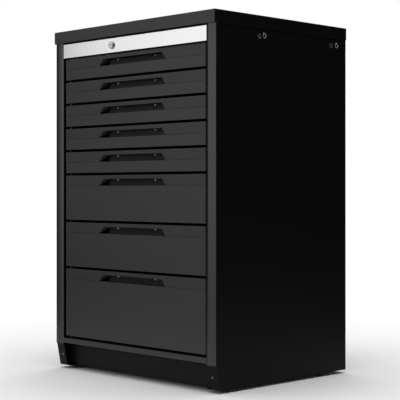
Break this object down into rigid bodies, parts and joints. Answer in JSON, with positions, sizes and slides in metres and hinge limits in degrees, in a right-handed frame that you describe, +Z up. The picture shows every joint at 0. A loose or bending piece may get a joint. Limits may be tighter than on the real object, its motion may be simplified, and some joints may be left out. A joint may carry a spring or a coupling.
{
  "type": "tall drawer cabinet",
  "caption": "Tall steel workshop drawer cabinet: full-width pull-out drawers with recessed finger grips, a lock strip under a folded top cover, a set-back plinth and levelling feet.",
  "frame": {"origin": "middle of the footprint, on the floor", "axes": "+Z up, front towards -Y, +X to the right of someone facing the drawers"},
  "size_m": [0.68, 0.55, 1.009],
  "materials": {
    "front_powder_coat": "fine-textured anthracite powder coat, satin",
    "side_powder_coat": "fine-textured black powder coat, satin",
    "inner_powder_coat": "black powder coat, satin",
    "tray_powder_coat": "dark powder coat, satin",
    "grip_moulding": "fine-grained anthracite moulding",
    "brushed_trim": "brushed lengthwise",
    "zinc_steel": "bright zinc plating",
    "lock_chrome": "satin nickel plating",
    "foot_nylon": "moulded black nylon"
  },
  "bodies": {
    "casing": {"left_side_panel": "side_powder_coat", "right_side_panel": "side_powder_coat", "back_panel": "inner_powder_coat", "top_cover": "front_powder_coat", "base_panel": "inner_powder_coat", "kick_plate": "inner_powder_coat", "bottom_rail": "front_powder_coat", "lock_rail": "inner_powder_coat", "trim_strip": "brushed_trim", "slide_uprights": "zinc_steel", "outer_rails": "zinc_steel", "side_inserts": "zinc_steel", "casing_fasteners": "zinc_steel", "lock_housing": "lock_chrome"},
    "foot_front_left": {"foot_front_left": "foot_nylon"},
    "foot_front_right": {"foot_front_right": "foot_nylon"},
    "foot_rear_left": {"foot_rear_left": "foot_nylon"},
    "foot_rear_right": {"foot_rear_right": "foot_nylon"},
    "lock_plug": {"lock_plug": "lock_chrome"},
    "lock_bar": {"lock_bar": "zinc_steel"},
    "drawer_1": {"drawer_1_front": "front_powder_coat", "drawer_1_grip": "grip_moulding", "drawer_1_tray": "tray_powder_coat", "drawer_1_inner_rails_screws": "zinc_steel"},
    "drawer_1_middle_slides": {"drawer_1_middle_rails": "zinc_steel"},
    "drawer_2": {"drawer_2_front": "front_powder_coat", "drawer_2_grip": "grip_moulding", "drawer_2_tray": "tray_powder_coat", "drawer_2_inner_rails_screws": "zinc_steel"},
    "drawer_2_middle_slides": {"drawer_2_middle_rails": "zinc_steel"},
    "drawer_3": {"drawer_3_front": "front_powder_coat", "drawer_3_grip": "grip_moulding", "drawer_3_tray": "tray_powder_coat", "drawer_3_inner_rails_screws": "zinc_steel"},
    "drawer_3_middle_slides": {"drawer_3_middle_rails": "zinc_steel"},
    "drawer_4": {"drawer_4_front": "front_powder_coat", "drawer_4_grip": "grip_moulding", "drawer_4_tray": "tray_powder_coat", "drawer_4_inner_rails_screws": "zinc_steel"},
    "drawer_4_middle_slides": {"drawer_4_middle_rails": "zinc_steel"},
    "drawer_5": {"drawer_5_front": "front_powder_coat", "drawer_5_grip": "grip_moulding", "drawer_5_tray": "tray_powder_coat", "drawer_5_inner_rails_screws": "zinc_steel"},
    "drawer_5_middle_slides": {"drawer_5_middle_rails": "zinc_steel"},
    "drawer_6": {"drawer_6_front": "front_powder_coat", "drawer_6_grip": "grip_moulding", "drawer_6_tray": "tray_powder_coat", "drawer_6_inner_rails_screws": "zinc_steel"},
    "drawer_6_middle_slides": {"drawer_6_middle_rails": "zinc_steel"},
    "drawer_7": {"drawer_7_front": "front_powder_coat", "drawer_7_grip": "grip_moulding", "drawer_7_tray": "tray_powder_coat", "drawer_7_inner_rails_screws": "zinc_steel"},
    "drawer_7_middle_slides": {"drawer_7_middle_rails": "zinc_steel"},
    "drawer_8": {"drawer_8_front": "front_powder_coat", "drawer_8_grip": "grip_moulding", "drawer_8_tray": "tray_powder_coat", "drawer_8_inner_rails_screws": "zinc_steel"},
    "drawer_8_middle_slides": {"drawer_8_middle_rails": "zinc_steel"}
  },
  "joints": [
    {"name": "drawer_1_slide", "type": "slide", "parent": "casing", "child": "drawer_1", "axis": [0, -1, 0], "range_m": [0, 0.45]},
    {"name": "drawer_1_middle_slide", "type": "slide", "parent": "casing", "child": "drawer_1_middle_slides", "axis": [0, -1, 0], "range_m": [0, 0.225]},
    {"name": "drawer_2_slide", "type": "slide", "parent": "casing", "child": "drawer_2", "axis": [0, -1, 0], "range_m": [0, 0.45]},
    {"name": "drawer_2_middle_slide", "type": "slide", "parent": "casing", "child": "drawer_2_middle_slides", "axis": [0, -1, 0], "range_m": [0, 0.225]},
    {"name": "drawer_3_slide", "type": "slide", "parent": "casing", "child": "drawer_3", "axis": [0, -1, 0], "range_m": [0, 0.45]},
    {"name": "drawer_3_middle_slide", "type": "slide", "parent": "casing", "child": "drawer_3_middle_slides", "axis": [0, -1, 0], "range_m": [0, 0.225]},
    {"name": "drawer_4_slide", "type": "slide", "parent": "casing", "child": "drawer_4", "axis": [0, -1, 0], "range_m": [0, 0.45]},
    {"name": "drawer_4_middle_slide", "type": "slide", "parent": "casing", "child": "drawer_4_middle_slides", "axis": [0, -1, 0], "range_m": [0, 0.225]},
    {"name": "drawer_5_slide", "type": "slide", "parent": "casing", "child": "drawer_5", "axis": [0, -1, 0], "range_m": [0, 0.45]},
    {"name": "drawer_5_middle_slide", "type": "slide", "parent": "casing", "child": "drawer_5_middle_slides", "axis": [0, -1, 0], "range_m": [0, 0.225]},
    {"name": "drawer_6_slide", "type": "slide", "parent": "casing", "child": "drawer_6", "axis": [0, -1, 0], "range_m": [0, 0.45]},
    {"name": "drawer_6_middle_slide", "type": "slide", "parent": "casing", "child": "drawer_6_middle_slides", "axis": [0, -1, 0], "range_m": [0, 0.225]},
    {"name": "drawer_7_slide", "type": "slide", "parent": "casing", "child": "drawer_7", "axis": [0, -1, 0], "range_m": [0, 0.45]},
    {"name": "drawer_7_middle_slide", "type": "slide", "parent": "casing", "child": "drawer_7_middle_slides", "axis": [0, -1, 0], "range_m": [0, 0.225]},
    {"name": "drawer_8_slide", "type": "slide", "parent": "casing", "child": "drawer_8", "axis": [0, -1, 0], "range_m": [0, 0.45]},
    {"name": "drawer_8_middle_slide", "type": "slide", "parent": "casing", "child": "drawer_8_middle_slides", "axis": [0, -1, 0], "range_m": [0, 0.225]},
    {"name": "lock_turn", "type": "hinge", "parent": "casing", "child": "lock_plug", "pos_m": [-0.082, -0.27, 0.95], "axis": [0, 1, 0], "range_deg": [0, 90]},
    {"name": "lock_bar_lift", "type": "slide", "parent": "casing", "child": "lock_bar", "axis": [0, 0, 1], "range_m": [0, 0.008]},
    {"name": "foot_front_left_level", "type": "slide", "parent": "casing", "child": "foot_front_left", "axis": [0, 0, -1], "range_m": [0, 0.015]},
    {"name": "foot_front_right_level", "type": "slide", "parent": "casing", "child": "foot_front_right", "axis": [0, 0, -1], "range_m": [0, 0.015]},
    {"name": "foot_rear_left_level", "type": "slide", "parent": "casing", "child": "foot_rear_left", "axis": [0, 0, -1], "range_m": [0, 0.015]},
    {"name": "foot_rear_right_level", "type": "slide", "parent": "casing", "child": "foot_rear_right", "axis": [0, 0, -1], "range_m": [0, 0.015]}
  ],
  "couplings": [
    {"joint": "drawer_1_middle_slide", "follows": "drawer_1_slide", "ratio": 0.5},
    {"joint": "drawer_2_middle_slide", "follows": "drawer_2_slide", "ratio": 0.5},
    {"joint": "drawer_3_middle_slide", "follows": "drawer_3_slide", "ratio": 0.5},
    {"joint": "drawer_4_middle_slide", "follows": "drawer_4_slide", "ratio": 0.5},
    {"joint": "drawer_5_middle_slide", "follows": "drawer_5_slide", "ratio": 0.5},
    {"joint": "drawer_6_middle_slide", "follows": "drawer_6_slide", "ratio": 0.5},
    {"joint": "drawer_7_middle_slide", "follows": "drawer_7_slide", "ratio": 0.5},
    {"joint": "drawer_8_middle_slide", "follows": "drawer_8_slide", "ratio": 0.5},
    {"joint": "lock_turn", "follows": "lock_bar_lift", "rad_per_m": 196.3}
  ]
}
